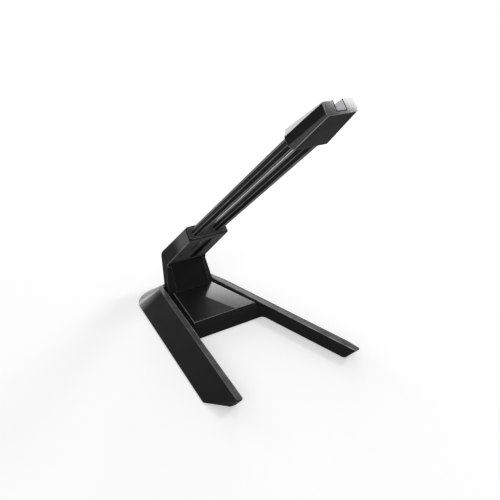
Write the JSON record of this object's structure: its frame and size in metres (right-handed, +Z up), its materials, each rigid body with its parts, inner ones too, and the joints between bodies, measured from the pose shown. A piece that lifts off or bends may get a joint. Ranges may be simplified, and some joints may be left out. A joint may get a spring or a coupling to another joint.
{
  "type": "mouse cord stand",
  "caption": "Desk stand that holds a mouse cord clear of the table: faceted splayed base, bent neck and springy rods leaning forward to a notched cord head.",
  "frame": {"origin": "on the table, under the middle of the stand's box", "axes": "+Z up, -Y towards the mouse, where the arm leans and the legs point, +X to the stand's left leg as seen from behind the notch, that is to the right in a view from the front"},
  "size_m": [0.0976, 0.1406, 0.1401],
  "materials": {
    "shell_plastic": "satin black moulding with a fine spark texture",
    "neck_plastic": "satin black moulding",
    "deck_gloss": "polished black",
    "cover_plastic": "matt black moulding",
    "plug_plastic": "satin dark grey moulding",
    "rod_plastic": "satin black, drawn along its length",
    "head_plastic": "satin black moulding",
    "grip_rubber": "soft matt, light grey",
    "foot_rubber": "soft matt",
    "ballast_iron": "as cast",
    "screw_steel": "zinc plated"
  },
  "bodies": {
    "root": {"base_shell": "shell_plastic", "deck_plate": "deck_gloss", "base_cover": "cover_plastic", "ballast_bridge": "ballast_iron", "ballast_left": "ballast_iron", "ballast_right": "ballast_iron", "foot_front_left": "foot_rubber", "foot_front_right": "foot_rubber", "foot_rear_left": "foot_rubber", "foot_rear_right": "foot_rubber", "cover_screws": "screw_steel", "neck_screws": "screw_steel", "neck_shell": "neck_plastic", "arm_plug": "plug_plastic", "rod_left": "rod_plastic", "rod_right": "rod_plastic", "head_body": "head_plastic", "cord_grip": "grip_rubber"}
  },
  "joints": []
}
